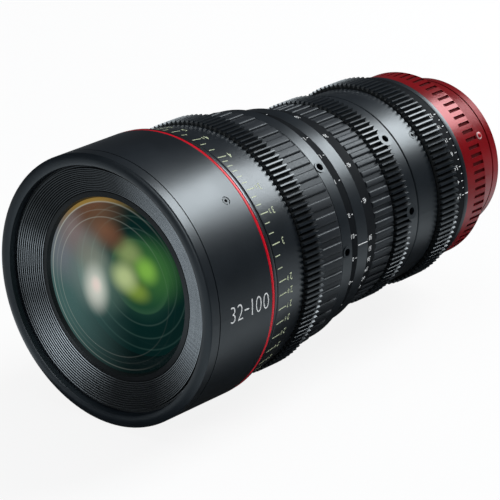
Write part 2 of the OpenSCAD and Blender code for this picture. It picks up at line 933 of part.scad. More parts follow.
module guide_tube() {
    color([0.60, 0.58, 0.50])
        lens()
            difference() {
                ring(guide_bore, guide_r, guide_front_z, guide_end_z);
                for (i = [0:pin_count - 1]) {
                    guide_slot(pin_angle(i), variator_z, variator_travel, cam_pin_r, guide_bore, guide_r);
                    guide_slot(pin_angle(i), compensator_z, compensator_travel, cam_pin_r,
                               guide_bore, guide_r);
                }
            }
}

module iris_housing() {
    rim_bore = tube_bore - housing_rim;
    color([0.16, 0.16, 0.17])
        lens()
            difference() {
                rotate_extrude()
                    polygon([
                        [housing_bore, iris_front_z], [tube_bore, iris_front_z], [tube_bore, cover_z],
                        [rim_bore, cover_z], [rim_bore, iris_plate_z], [housing_bore, iris_plate_z]
                    ]);
                for (i = [0:blade_count - 1])
                    rotate([0, 0, 360 * i / blade_count])
                        translate([pivot_r, 0, iris_plate_z - pivot_bite - fit_gap])
                            cylinder(r = pivot_pin_r + fit_gap, h = pivot_bite + fit_gap + overrun);
                key_window(rim_bore, tube_bore, iris_key_z, iris_key_r + fit_gap,
                           -key_turn_margin, iris_turn + key_turn_margin);
            }
}

module iris_cover() {
    color([0.18, 0.18, 0.19])
        lens()
            ring(actuator_bore, tube_bore, cover_z, cover_z + cover_t);
}

// A crescent cut off round its pivot, and the ears of its pivot and drive pins
module blade_outline() {
    intersection() {
        difference() {
            circle(r = blade_outer_r);
            circle(r = iris_open_r);
        }
        translate([pivot_r, 0])
            circle(r = blade_reach);
        polygon([
            [0, 0], sector_corner(blade_start),
            sector_corner(blade_start + 60), sector_corner(blade_start + 120)
        ]);
    }
    for (y = [0, blade_arm])
        translate([pivot_r, y])
            circle(r = ear_r);
    translate([pivot_r - ear_neck, 0])
        square([2 * ear_neck, blade_arm]);
    polygon([
        [pivot_r, 0.25 * blade_arm], [pivot_r, blade_arm],
        [blade_outer_r - ear_r, blade_arm + ear_r], [blade_outer_r - ear_r, 0.5 * blade_arm]
    ]);
}

// A point outside the blade, on a ray at an angle
function sector_corner(a) = 2 * blade_outer_r * [cos(a), sin(a)];

// One blade, its pivot pin into the housing and its drive pin into the actuator
module blade(index) {
    layer_z = blade_z + (index - 1) * blade_pitch;
    drive_end = actuator_z + actuator_t - pivot_pin_r;
    pivot_start = iris_plate_z - pivot_bite;
    color([0.30, 0.31, 0.33])
        lens()
            rotate([0, 0, (index - 1) * 360 / blade_count]) {
                translate([0, 0, layer_z])
                    linear_extrude(blade_t)
                        blade_outline();
                translate([pivot_r, 0, pivot_start])
                    cylinder(r = pivot_pin_r, h = layer_z + blade_t - pivot_start);
                translate([pivot_r, blade_arm, layer_z])
                    cylinder(r = pivot_pin_r, h = drive_end - layer_z);
            }
}

// Place of a drive pin in the actuator's own frame, for a share of the turn
function drive_point(share) = let (
        a = 90 + blade_turn * share, b = -iris_turn * share,
        x = pivot_r + blade_arm * cos(a), y = blade_arm * sin(a)
    ) [x * cos(b) - y * sin(b), x * sin(b) + y * cos(b)];

function drive_side(share, side) = let (
        small = 1 / slot_steps / slot_steps,
        d = drive_point(share + small) - drive_point(share - small)
    ) drive_point(share) + side * (pivot_pin_r + fit_gap) * [-d[1], d[0]] / norm(d);

module iris_actuator() {
    shares = [for (i = [0:slot_steps]) -slot_run_share + (1 + 2 * slot_run_share) * i / slot_steps];
    color([0.50, 0.48, 0.42])
        lens()
            difference() {
                translate([0, 0, actuator_z])
                    linear_extrude(actuator_t)
                        difference() {
                            circle(r = actuator_r);
                            circle(r = actuator_bore);
                            for (k = [0:blade_count - 1])
                                rotate(360 * k / blade_count)
                                    polygon(concat(
                                        [for (s = shares) drive_side(s, 1)],
                                        [for (i = [slot_steps:-1:0]) drive_side(shares[i], -1)]
                                    ));
                        }
                outward_bar(0, iris_key_z, iris_key_r, actuator_r - iris_key_bite, actuator_r + overrun);
            }
}

module iris_key() {
    color([0.70, 0.70, 0.72])
        lens()
            outward_bar(0, iris_key_z, iris_key_r, actuator_r - iris_key_bite, tube_rear_r + key_bite);
}

module relay_cell() {
    color([0.15, 0.15, 0.16])
        lens()
            rotate_extrude()
                polygon([
                    [relay_glass_r - cell_ledge, relay_front_z], [relay_r, relay_front_z],
                    [relay_r, relay_flange_z], [tube_bore, relay_flange_z],
                    [tube_bore, relay_flange_z + relay_flange_t],
                    [relay_r, relay_flange_z + relay_flange_t],
                    [relay_r, relay_end_z], [relay_glass_r, relay_end_z],
                    [relay_glass_r, relay_glass_z], [relay_glass_r - cell_ledge, relay_glass_z]
                ]);
}

module relay_glass() {
    color([0.40, 0.50, 0.60, 0.5])
        lens()
            element(relay_glass_r, relay_glass_z, relay_glass_z + relay_glass_t, 0, relay_bulge);
}

module rear_cell() {
    flange_start = flange_z + rear_cell_front;
    seat_z = rear_cell_end_z - rear_glass_t - rear_glass_bulge;
    color([0.13, 0.13, 0.14])
        lens()
            rotate_extrude()
                polygon([
                    [rear_glass_r - cell_ledge, flange_start], [flange_bore, flange_start],
                    [flange_bore, flange_start + rear_cell_flange_t],
                    [rear_cell_r, flange_start + rear_cell_flange_t], [rear_cell_r, rear_cell_end_z],
                    [rear_glass_r, rear_cell_end_z], [rear_glass_r, seat_z],
                    [rear_glass_r - cell_ledge, seat_z]
                ]);
}

module rear_glass() {
    seat_z = rear_cell_end_z - rear_glass_t - rear_glass_bulge;
    color([0.45, 0.40, 0.60, 0.5])
        lens()
            element(rear_glass_r, seat_z, seat_z + rear_glass_t, -rear_glass_bulge, rear_glass_bulge);
}

module focus_sleeve() {
    color([0.58, 0.59, 0.60])
        lens()
            difference() {
                ring(tube_front_r + fit_gap, sleeve_r, focus_z, focus_band_z);
                for (i = [0:pin_count - 1])
                    helix_slot(tube_front_r + fit_gap, sleeve_r, focus_pin_z, focus_per_degree,
                               focus_turn, focus_pin_r, pin_angle(i));
            }
}

module focus_scale() {
    color([0.13, 0.13, 0.14])
        lens()
            band(sleeve_r, focus_scale_r, focus_root_r, focus_z, focus_gear_z);
}

module focus_gear() {
    color([0.08, 0.08, 0.09])
        lens()
            gear(focus_teeth, focus_root_r, focus_tip_r, sleeve_r, focus_gear_z, focus_gear_len);
}

module focus_grip() {
    color([0.16, 0.17, 0.18])
        lens()
            grip(focus_pads, sleeve_r, focus_band_r, focus_grip_z, focus_grip_len);
}

module focus_band() {
    hole_z = focus_band_z + focus_lever_back;
    color([0.28, 0.29, 0.31])
        lens()
            difference() {
                union() {
                    band(tube_front_r + fit_gap, focus_band_r, focus_band_r, focus_band_z, distance_z);
                    for (angle = focus_lever_angles)
                        outward_bar(angle, hole_z, lever_hole_r + lever_rim_w,
                                    focus_band_r - lever_rim_w, focus_band_r + lever_rim_h);
                }
                for (angle = focus_lever_angles)
                    outward_bar(angle, hole_z, lever_hole_r, focus_band_r - lever_hole_depth,
                                focus_band_r + overrun);
            }
}

module distance_band() {
    color([0.07, 0.07, 0.08])
        lens()
            band(tube_front_r + fit_gap, distance_r, distance_r, distance_z, focus_end_z);
}

module zoom_scale() {
    color([0.07, 0.07, 0.08])
        lens()
            band(tube_rear_r + fit_gap, zoom_scale_r, zoom_scale_rear_r, zoom_z, zoom_grip_z);
}

module zoom_grip() {
    color([0.16, 0.17, 0.18])
        lens()
            grip(zoom_pads, tube_rear_r + fit_gap, zoom_valley_r, zoom_grip_z, zoom_grip_len);
}

// The boss round each lever hole stands partly in the gear
module zoom_boss(angle) {
    outward_bar(angle, zoom_band_z + edge, boss_r, tube_rear_r + boss_foot, zoom_tip_r - boss_top_drop);
}

module zoom_gear() {
    color([0.08, 0.08, 0.09])
        lens()
            difference() {
                gear(zoom_teeth, zoom_root_r, zoom_tip_r, tube_rear_r + fit_gap,
                     zoom_gear_z, zoom_gear_len);
                for (angle = zoom_lever_angles)
                    outward_bar(angle, zoom_band_z + edge, boss_r, tube_rear_r + boss_foot,
                                zoom_tip_r + overrun);
            }
}

module zoom_band() {
    color([0.24, 0.25, 0.26])
        lens()
            difference() {
                union() {
                    band(tube_rear_r + fit_gap, zoom_root_r, rear_r, zoom_band_z, zoom_end_z);
                    for (angle = zoom_lever_angles)
                        zoom_boss(angle);
                }
                for (angle = zoom_lever_angles)
                    outward_bar(angle, zoom_band_z + edge, lever_hole_r,
                                zoom_tip_r - boss_top_drop - lever_hole_depth + edge, zoom_tip_r + overrun);
                outward_bar(0, zoom_key_z, key_r, tube_rear_r - overrun, tube_rear_r + key_bite);
            }
}

module cam_barrel() {
    color([0.62, 0.55, 0.35])
        lens()
            difference() {
                ring(cam_bore, cam_r, cam_front_z, guide_end_z - cam_end_gap);
                for (i = [0:pin_count - 1]) {
                    helix_slot(cam_bore, cam_r, variator_z, variator_per_degree, zoom_turn,
                               cam_pin_r, pin_angle(i));
                    helix_slot(cam_bore, cam_r, compensator_z, compensator_per_degree, zoom_turn,
                               cam_pin_r, pin_angle(i));
                }
                outward_bar(0, zoom_key_z, key_r, cam_r - key_bite, cam_r + overrun);
            }
}

module zoom_key() {
    color([0.70, 0.70, 0.72])
        lens()
            outward_bar(0, zoom_key_z, key_r, cam_r - key_bite, tube_rear_r + key_bite);
}

module iris_gear() {
    color([0.08, 0.08, 0.09])
        lens()
            difference() {
                gear(iris_teeth, iris_root_r, iris_tip_r, tube_rear_r + fit_gap, iris_z, iris_gear_len);
                outward_bar(0, iris_key_z, iris_key_r, tube_rear_r - overrun, tube_rear_r + key_bite);
            }
}

module iris_scale() {
    color([0.06, 0.06, 0.07])
        lens()
            band(tube_rear_r + fit_gap, iris_root_r, iris_root_r - edge, iris_scale_z, iris_end_z);
}

// A round cell with a glass seat behind its front lip, open at the rear
module cell(r, glass_r, z0, seat_z, z1) {
    rotate_extrude()
        polygon([
            [glass_r - cell_ledge, z0], [r, z0], [r, z1], [glass_r, z1],
            [glass_r, seat_z], [glass_r - cell_ledge, seat_z - cell_ledge]
        ]);
}

// Pins that stand outward from a moving group, in the holes drilled for them
module group_pins(z, r, from_r, to_r) {
    for (i = [0:pin_count - 1])
        outward_bar(pin_angle(i), z, r, from_r, to_r);
}

module focus_cell() {
    half = 0.5 * focus_cell_len;
    color([0.16, 0.16, 0.17])
        lens()
            difference() {
                cell(tube_front_bore - fit_gap, focus_glass_r, focus_pin_z - half,
                     focus_pin_z - 0.5 * focus_glass_t, focus_pin_z + half);
                group_pins(focus_pin_z, focus_pin_r, focus_glass_r + cell_ledge, tube_front_r);
            }
}

module focus_glass() {
    color([0.35, 0.50, 0.55, 0.5])
        lens()
            element(focus_glass_r, focus_pin_z - 0.5 * focus_glass_t, focus_pin_z + 0.5 * focus_glass_t,
                    -focus_glass_bulge, focus_glass_bulge);
}

module focus_pins() {
    color([0.78, 0.70, 0.45])
        lens()
            group_pins(focus_pin_z, focus_pin_r, focus_glass_r + cell_ledge, sleeve_r - pin_end_gap);
}

module variator_cell() {
    color([0.16, 0.16, 0.17])
        lens()
            difference() {
                cell(guide_bore - fit_gap, variator_glass_r, variator_z - variator_half,
                     variator_z - 0.5 * variator_glass_t, variator_z + variator_half);
                group_pins(variator_z, cam_pin_r, guide_bore - 2 * cam_pin_r, guide_r);
            }
}

module variator_glass() {
    color([0.50, 0.45, 0.30, 0.5])
        lens()
            element(variator_glass_r, variator_z - 0.5 * variator_glass_t,
                    variator_z + 0.5 * variator_glass_t, -variator_hollow, -variator_hollow);
}

module variator_pins() {
    color([0.78, 0.70, 0.45])
        lens()
            group_pins(variator_z, cam_pin_r, guide_bore - 2 * cam_pin_r, cam_r - pin_end_gap);
}

module compensator_cell() {
    color([0.17, 0.17, 0.18])
        lens() {
            cell(guide_bore - fit_gap, compensator_glass_r, compensator_z - compensator_front,
                 compensator_glass_z, compensator_z + compensator_rear);
            group_pins(compensator_z, cam_pin_r, guide_bore - 2 * cam_pin_r, cam_r - pin_end_gap);
        }
}

module compensator_glass() {
    color([0.45, 0.55, 0.45, 0.5])
        lens()
            element(compensator_glass_r, compensator_glass_z, compensator_glass_z + compensator_glass_t,
                    -compensator_bulge, compensator_bulge);
}

front_barrel();
front_baffle();
front_retainer();
front_cell();
front_glass();
second_glass();
accent_ring();
bevel_ring();
main_tube();
mid_ring();
rear_barrel();
index_ring();
name_ring();
rear_flange();
mount_ring();
mount_screws();
contact_block();
contact_pins();
index_dome();
barrel_screws();
guide_tube();
iris_housing();
iris_cover();
relay_cell();
relay_glass();
rear_cell();
rear_glass();
focus_sleeve();
focus_scale();
focus_gear();
focus_grip();
focus_band();
distance_band();
zoom_scale();
zoom_grip();
zoom_gear();
zoom_band();
cam_barrel();
zoom_key();
iris_gear();
iris_scale();
iris_actuator();
iris_key();
focus_cell();
focus_glass();
focus_pins();
variator_cell();
variator_glass();
variator_pins();
compensator_cell();
compensator_glass();
blade(1);  // blade_1
blade(2);  // blade_2
blade(3);  // blade_3
blade(4);  // blade_4
blade(5);  // blade_5
blade(6);  // blade_6
blade(7);  // blade_7
blade(8);  // blade_8
blade(9);  // blade_9
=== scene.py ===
"""Looks of a cinema zoom lens: finishes, scale markings, glass coatings and a plain studio."""
import math

import bmesh
import bpy
from mathutils import Matrix, Vector
from mathutils.bvhtree import BVHTree


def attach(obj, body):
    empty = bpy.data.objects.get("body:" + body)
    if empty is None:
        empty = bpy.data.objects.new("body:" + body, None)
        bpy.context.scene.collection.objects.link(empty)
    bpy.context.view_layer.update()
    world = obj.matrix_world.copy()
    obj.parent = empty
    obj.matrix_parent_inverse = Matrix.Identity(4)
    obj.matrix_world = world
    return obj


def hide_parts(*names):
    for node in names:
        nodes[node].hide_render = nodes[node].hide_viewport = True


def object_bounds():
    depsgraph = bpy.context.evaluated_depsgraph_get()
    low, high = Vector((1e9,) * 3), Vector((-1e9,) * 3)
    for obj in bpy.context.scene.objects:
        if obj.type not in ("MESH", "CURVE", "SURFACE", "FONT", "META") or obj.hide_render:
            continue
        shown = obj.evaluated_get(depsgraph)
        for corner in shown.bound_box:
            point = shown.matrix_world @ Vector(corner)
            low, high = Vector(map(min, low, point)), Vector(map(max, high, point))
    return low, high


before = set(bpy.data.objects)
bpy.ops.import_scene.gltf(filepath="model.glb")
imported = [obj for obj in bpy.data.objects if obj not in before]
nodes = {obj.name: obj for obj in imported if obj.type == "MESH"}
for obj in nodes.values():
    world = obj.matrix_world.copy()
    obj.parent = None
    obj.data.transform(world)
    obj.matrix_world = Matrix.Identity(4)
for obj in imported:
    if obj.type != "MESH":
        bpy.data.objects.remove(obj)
cad_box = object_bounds()

MM = 0.001
FRONT = cad_box[0].y


def station(z):
    """A place along the axis, z millimetres behind the front rim."""
    return FRONT + z * MM


# The camera: its place and reach in metres, its turn about the upright, its fall below level, and its
# focal length and sensor in millimetres
CAM_PLACE = Vector((0.76022, -1.02729, 0.44499))
CAM_TURN = math.radians(40.284)
CAM_DOWN = math.radians(21.101)
CAM_FOCAL = 216.23
CAM_SENSOR = 36.0
CAM_FAR = 20.0


def make_camera():
    data = bpy.data.cameras.new("camera")
    data.lens = CAM_FOCAL
    data.sensor_fit = "HORIZONTAL"
    data.sensor_width = CAM_SENSOR
    data.clip_end = CAM_FAR
    camera = bpy.data.objects.new("camera", data)
    camera.location = CAM_PLACE
    camera.rotation_euler = (math.pi / 2 - CAM_DOWN, 0, CAM_TURN)
    bpy.context.scene.collection.objects.link(camera)
    bpy.context.scene.camera = camera


# Materials. Radii and reaches are in millimetres, and noise scales in waves to the metre.
# GRAIN is the height of the finest relief.

GRAIN = 0.01 * MM


class Shader:
    """A small builder for node materials, in the object's own coordinates."""

    def __init__(self, name):
        self.material = bpy.data.materials.new(name)
        self.material.use_nodes = True
        self.tree = self.material.node_tree
        self.tree.nodes.clear()
        self.output = self.tree.nodes.new("ShaderNodeOutputMaterial")
        self.coords = self.tree.nodes.new("ShaderNodeTexCoord").outputs["Object"]

    def node(self, kind):
        return self.tree.nodes.new(kind)

    def link(self, source, target):
        self.tree.links.new(source, target)

    def principled(self, color, rough, metallic=0.0, specular=0.5, tint=(1.0, 1.0, 1.0)):
        shader = self.node("ShaderNodeBsdfPrincipled")
        shader.inputs["Specular Tint"].default_value = (*tint, 1)
        shader.inputs["Base Color"].default_value = (*color, 1)
        shader.inputs["Roughness"].default_value = rough
        shader.inputs["Metallic"].default_value = metallic
        shader.inputs["Specular IOR Level"].default_value = specular
        self.link(shader.outputs[0], self.output.inputs["Surface"])
        return shader

    def mapped(self, scale, place=(0.0, 0.0, 0.0)):
        mapping = self.node("ShaderNodeMapping")
        self.link(self.coords, mapping.inputs["Vector"])
        mapping.inputs["Scale"].default_value = scale
        mapping.inputs["Location"].default_value = place
        return mapping.outputs[0]

    def noise(self, scale, detail=3.0, vector=None):
        texture = self.node("ShaderNodeTexNoise")
        self.link(vector or self.coords, texture.inputs["Vector"])
        texture.inputs["Scale"].default_value = scale
        texture.inputs["Detail"].default_value = detail
        return texture.outputs["Fac"]

    def ranged(self, value, low, high, start=0.3, end=0.7):
        """Runs softly from low to high while a value runs from start to end."""
        spread = self.node("ShaderNodeMapRange")
        spread.interpolation_type = "SMOOTHSTEP"
        self.link(value, spread.inputs["Value"])
        spread.inputs["From Min"].default_value = start
        spread.inputs["From Max"].default_value = end
        spread.inputs["To Min"].default_value = low
        spread.inputs["To Max"].default_value = high
        return spread.outputs[0]

    def ramp(self, value, stops):
        """Colours along a value, each stop a place from 0 to 1 and a colour."""
        ramp = self.node("ShaderNodeValToRGB")
        self.link(value, ramp.inputs["Fac"])
        elements = ramp.color_ramp.elements
        while len(elements) < len(stops):
            elements.new(1.0)
        for element, (place, color) in zip(elements, stops):
            element.position = place
            element.color = (*color, 1)
        return ramp.outputs["Color"]

    def spot(self, x, z, wide, high):
        """1 at a place on the glass, falling softly to 0 at an ellipse round it."""
        gradient = self.node("ShaderNodeTexGradient")
        gradient.gradient_type = "SPHERICAL"
        scale = (1 / (wide * MM), 0.0, 1 / (high * MM))
        self.link(self.mapped(scale, (-x / wide, 0.0, -z / high)), gradient.inputs["Vector"])
        return self.ranged(gradient.outputs["Fac"], 0.0, 1.0, 0.0, 0.9)

    def length(self, vector):
        measure = self.node("ShaderNodeVectorMath")
        measure.operation = "LENGTH"
        self.link(vector, measure.inputs[0])
        return measure.outputs["Value"]

    def radius(self, full):
        """The distance from the axis, as a share of a full radius."""
        return self.length(self.mapped((1 / (full * MM), 0.0, 1 / (full * MM))))

    def sector(self):
        """The angle round the axis from -X, by way of -Z, as a share of a turn."""
        upright = self.node("ShaderNodeMapping")
        upright.inputs["Rotation"].default_value = (math.radians(-90), 0.0, 0.0)
        self.link(self.coords, upright.inputs["Vector"])
        gradient = self.node("ShaderNodeTexGradient")
        gradient.gradient_type = "RADIAL"
        self.link(upright.outputs[0], gradient.inputs["Vector"])
        return gradient.outputs["Fac"]

    def blended(self, value, first, second):
        """The first colour where the value is 0, and the second where it is 1."""
        mix = self.node("ShaderNodeMix")
        mix.data_type = "RGBA"
        self.link(value, mix.inputs["Factor"])
        for socket, color in ((mix.inputs[6], first), (mix.inputs[7], second)):
            if isinstance(color, tuple):
                socket.default_value = (*color, 1)
            else:
                self.link(color, socket)
        return mix.outputs[2]

    def combined(self, operation, first, second):
        math_node = self.node("ShaderNodeMath")
        math_node.operation = operation
        for socket, value in zip(math_node.inputs, (first, second)):
            if isinstance(value, float):
                socket.default_value = value
            else:
                self.link(value, socket)
        return math_node.outputs[0]

    def bumped(self, shader, height, strength, distance):
        bump = self.node("ShaderNodeBump")
        self.link(height, bump.inputs["Height"])
        bump.inputs["Strength"].default_value = strength
        bump.inputs["Distance"].default_value = distance
        self.link(bump.outputs[0], shader.inputs["Normal"])

    def mixed(self, value, first, second):
        """One shader where the value is 0, and another where it is 1."""
        mix = self.node("ShaderNodeMixShader")
        self.link(value, mix.inputs["Fac"])
        self.link(first.outputs[0], mix.inputs[1])
        self.link(second.outputs[0], mix.inputs[2])
        return mix


def shade(color, factor):
    return tuple(channel * factor for channel in color)


def grey(tone):
    return (tone, tone, tone)


# Tints of the sheen; painted shade deep between teeth, in slots and between ribs; and painted shade on the
# baffle's crests
COOL = (0.84, 0.95, 1.0)
RED_TINT = (1.0, 0.22, 0.24)
VALLEY_SHADE = (0.0008, 0.0009, 0.0011)
RED_SLOT_SHADE = (0.060, 0.0012, 0.0022)
RIB_VALLEY_SHADE = (0.0022, 0.0026, 0.0032)
RIB_CREST_SHADE = (0.004, 0.005, 0.006)


def anodised(name, color, rough, specular=0.5, blast=0.3, tint=COOL, low=0.0, high=0.0, painted_shade=VALLEY_SHADE):
    """Bead blasted and anodised aluminium: an even fine grain, and faint handling marks.
    Between a low and a high radius its colour darkens with painted shade into the depth of teeth or slots."""
    make = Shader(name)
    shader = make.principled(color, rough, 0.0, specular, tint)
    cloud = make.noise(45.0, 5.0)
    spread = make.ramp(cloud, [(0.3, shade(color, 0.82)), (0.7, shade(color, 1.18))])
    finish = make.ranged(cloud, rough * 0.92, rough * 1.08)
    if high:
        # Painted shade: towards the floor of teeth or slots the colour runs to a dark tone
        height = make.ranged(make.radius(high), 0.0, 1.0, low / high, 1.0)
        spread = make.blended(height, painted_shade, spread)
        finish = make.ranged(height, 0.9, rough, 0.0, 1.0)
    make.link(spread, shader.inputs["Base Color"])
    make.link(finish, shader.inputs["Roughness"])
    make.bumped(shader, make.noise(5200.0, 2.0), blast, GRAIN)
    return make.material


# The baffle's ribs: where they start, their pitch, the crest's place across one, and the painted light on the
# crests from sector to sector, each a share of a turn and a share of the light
RIB_START = 39.501
RIB_PITCH = 0.8156
CREST = [(0.0, 0), (0.52, 0), (0.64, 1), (0.92, 1), (1.0, 0)]
SECTOR_LIGHT = [(0.0, 0.62), (0.05, 0.30), (0.08, 0.55), (0.12, 1.0), (0.19, 0.90), (0.25, 0.16),
           (0.33, 0.10), (0.39, 0.34), (0.45, 0.52), (0.53, 0.42), (0.62, 0.62), (0.68, 0.46),
           (0.74, 0.13), (0.90, 0.08), (0.94, 0.20), (0.97, 0.72), (1.0, 0.62)]


def turning_lines(make):
    """Fine rings round the axis, as a lathe tool leaves them."""
    return make.noise(1.0, 2.0, make.mapped((40.0, 9000.0, 40.0)))


def ribbed():
    """The ribs of the baffle: a bright turned crest on each, and matt black with painted shade between them.
    The crests carry painted light and shade, bright in some sectors round the axis and dark in others."""
    make = Shader("baffle_ribs")
    shader = make.principled((0.01, 0.01, 0.012), 0.3, 0.0, 0.4, COOL)
    across = make.combined("SUBTRACT", make.radius(RIB_PITCH), RIB_START / RIB_PITCH)
    across = make.combined("MODULO", across, 1.0)
    crest = make.ramp(across, [(place, grey(tone)) for place, tone in CREST])
    rings = turning_lines(make)
    bright = make.ramp(rings, [(0.3, (0.70, 0.77, 0.82)), (0.7, (0.84, 0.92, 0.98))])
    lit = make.ramp(make.sector(), [(share, grey(light)) for share, light in SECTOR_LIGHT])
    # Painted light and shade: crests bright in the lit sectors and dark in the others, with painted shade in
    # the valleys
    crests = make.blended(lit, RIB_CREST_SHADE, bright)
    make.link(make.blended(crest, RIB_VALLEY_SHADE, crests), shader.inputs["Base Color"])
    make.link(make.ranged(crest, 0.0, 0.9, 0.0, 1.0), shader.inputs["Metallic"])
    make.link(make.ranged(crest, 0.7, 0.26, 0.0, 1.0), shader.inputs["Roughness"])
    make.bumped(shader, rings, 0.2, GRAIN)
    return make.material


def turned(name, color, rough):
    """Lathe turned metal, with rings too fine to count."""
    make = Shader(name)
    shader = make.principled(color, rough, 1.0)
    rings = turning_lines(make)
    make.link(make.ramp(rings, [(0.3, shade(color, 0.88)), (0.7, shade(color, 1.08))]),
              shader.inputs["Base Color"])
    make.link(make.ranged(rings, rough * 0.85, rough * 1.2), shader.inputs["Roughness"])
    make.bumped(shader, rings, 0.25, GRAIN)
    return make.material


def paint(name, color):
    """Engraved and filled markings."""
    make = Shader(name)
    shader = make.principled(color, 0.55, 0.0, 0.3)
    worn = make.noise(900.0, 3.0)
    make.link(make.ramp(worn, [(0.3, shade(color, 0.84)), (0.7, color)]), shader.inputs["Base Color"])
    make.bumped(shader, worn, 0.2, 2 * GRAIN)
    return make.material


def moulded(name, color, rough, specular=0.4):
    """Rubber or plastic from a mould, with a fine spark-eroded grain."""
    make = Shader(name)
    shader = make.principled(color, rough, 0.0, specular, COOL)
    grain = make.noise(2400.0, 3.0)
    patch = make.noise(70.0, 3.0)
    make.link(make.ramp(patch, [(0.3, shade(color, 0.75)), (0.7, shade(color, 1.25))]),
              shader.inputs["Base Color"])
    make.link(make.ranged(grain, rough * 0.85, rough * 1.1), shader.inputs["Roughness"])
    make.bumped(shader, grain, 0.35, 2 * GRAIN)
    return make.material


def set_material(material, *names):
    for name in names:
        for slot in nodes[name].material_slots:
            slot.material = material


# The faces with painted reflections: the radii of the glass, the stations behind which nothing is painted, how
# much of what is behind each face hides, and the run over which the painted glow ends
FRONT_GLASS_R = 40.0
SECOND_GLASS_R = 33.0
FRONT_FACE_END = 9.0
SECOND_FACE_END = 26.5
FRONT_HIDES = 0.3
SECOND_HIDES = 0.9
FACE_FADE = 0.1


def glass_with_painted_light(make, color, alpha, last):
    """Glass that glows with painted reflections, in place of the light its coatings would give back, over what
    lies behind it.
    The painted glow is on the front face alone, which ends at the last station."""
    shader = make.principled((0.0, 0.0, 0.0), 0.1, 0.0, 0.0)
    # The painted reflections glow as emission, whatever the lamps do
    make.link(color, shader.inputs["Emission Color"])
    shader.inputs["Emission Strength"].default_value = 1.0 / alpha
    parts = make.node("ShaderNodeSeparateXYZ")
    make.link(make.coords, parts.inputs[0])
    make.link(make.ranged(parts.outputs["Y"], alpha, 0.0, station(last), station(last + FACE_FADE)),
              shader.inputs["Alpha"])
    return make.material


def layered(make, color, spots):
    """Soft spots over a colour. Each is a reach, a share and a tone."""
    for reach, share, tone in spots:
        spot = make.spot(*reach)
        if share < 1.0:
            spot = make.combined("MULTIPLY", spot, share)
        color = make.blended(spot, color, tone)
    return color


# The painted reflections on the front glass, which glow: a broad teal, soft spots over it, a gold crescent
# along the rim and thin bright rings. A reach is a spot's x, z, width and height.
TEAL_DARK = (0.001, 0.005, 0.005)
TEAL = (0.050, 0.106, 0.100)
TEAL_REACH = (-30.0, -6.0, 46.0, 54.0)
GOLD = (0.24, 0.15, 0.035)
GOLD_REACH = (-15.0, 32.0, 30.0, 22.0)
GOLD_START = 0.868
GOLD_END = 0.885
GLINT_WHITE = (0.44, 0.47, 0.42)
GLINT_REACH = (-14.0, 4.0, 50.0, 54.0)
REFLECTION_SPOTS = [
    ((-29.0, 10.0, 22.0, 20.0), 1.0, (0.125, 0.142, 0.158)),
    ((-12.0, 4.0, 16.0, 20.0), 0.9, (0.125, 0.175, 0.162)),
    ((-21.0, 20.0, 18.0, 15.0), 1.0, (0.170, 0.138, 0.135)),
    ((-12.0, 31.0, 22.0, 15.0), 1.0, (0.105, 0.050, 0.027)),
    ((-9.5, 11.5, 14.0, 12.0), 0.8, (0.170, 0.172, 0.140)),
    ((-7.0, -1.0, 9.5, 13.5), 1.0, (0.50, 0.49, 0.44)),
    ((-6.5, 0.5, 4.0, 5.0), 1.0, (0.66, 0.52, 0.48)),
]
# The thin rings, painted reflections: the share of the radius where each lies, half its width and its strength
GLINTS = [(0.730, 0.008, 0.45), (0.800, 0.008, 0.25), (0.876, 0.010, 1.0)]


def front_painted_reflection():
    """The front element: clear but for the soft warm, grey and teal painted reflections that glow on its face.
    """
    make = Shader("front_painted_reflection")
    color = make.blended(make.spot(*TEAL_REACH), TEAL_DARK, TEAL)
    color = layered(make, color, REFLECTION_SPOTS)
    reach = make.radius(FRONT_GLASS_R)
    rim = make.ranged(reach, 0.0, 1.0, GOLD_START, GOLD_END)
    crescent = make.combined("MULTIPLY", rim, make.spot(*GOLD_REACH))
    color = make.blended(crescent, color, GOLD)
    stops = [(0.0, grey(0))]
    for share, half, light in GLINTS:
        stops += [(share - half, grey(0)), (share, grey(light)), (share + half, grey(0))]
    rings = make.combined("MULTIPLY", make.ramp(reach, stops), make.spot(*GLINT_REACH))
    color = make.blended(rings, color, GLINT_WHITE)
    return glass_with_painted_light(make, color, FRONT_HIDES, FRONT_FACE_END)


# The painted glow seen deep in the lens, with thin bright rings in it: tones along the radius, and soft spots
# over them
DEEP_TONES = [
    (0.0, (0.030, 0.100, 0.030)), (0.40, (0.016, 0.070, 0.030)),
    (0.47, (0.030, 0.090, 0.045)), (0.49, (0.008, 0.034, 0.024)),
    (0.605, (0.003, 0.018, 0.015)), (0.62, (0.030, 0.060, 0.050)), (0.635, (0.002, 0.015, 0.013)),
    (0.765, (0.002, 0.013, 0.011)), (0.78, (0.024, 0.052, 0.044)), (0.795, (0.002, 0.011, 0.010)),
    (0.905, (0.002, 0.010, 0.009)), (0.92, (0.018, 0.042, 0.036)), (0.935, (0.001, 0.009, 0.008)),
    (1.0, (0.001, 0.010, 0.009)),
]
DEEP_SPOTS = [
    ((8.0, 5.0, 21.0, 18.0), 1.0, (0.046, 0.160, 0.038)),
    ((-19.0, -8.0, 17.0, 17.0), 1.0, (0.070, 0.120, 0.095)),
    ((-6.0, 8.5, 11.0, 9.0), 1.0, (0.27, 0.36, 0.13)),
    ((3.2, 3.2, 9.0, 8.2), 1.0, (0.25, 0.54, 0.075)),
    ((-16.0, 14.0, 12.0, 9.0), 1.0, (0.15, 0.060, 0.030)),
    ((-2.0, -7.0, 10.0, 6.5), 0.9, (0.24, 0.36, 0.05)),
    ((-8.5, -2.5, 10.0, 9.0), 1.0, (0.55, 0.66, 0.30)),
]


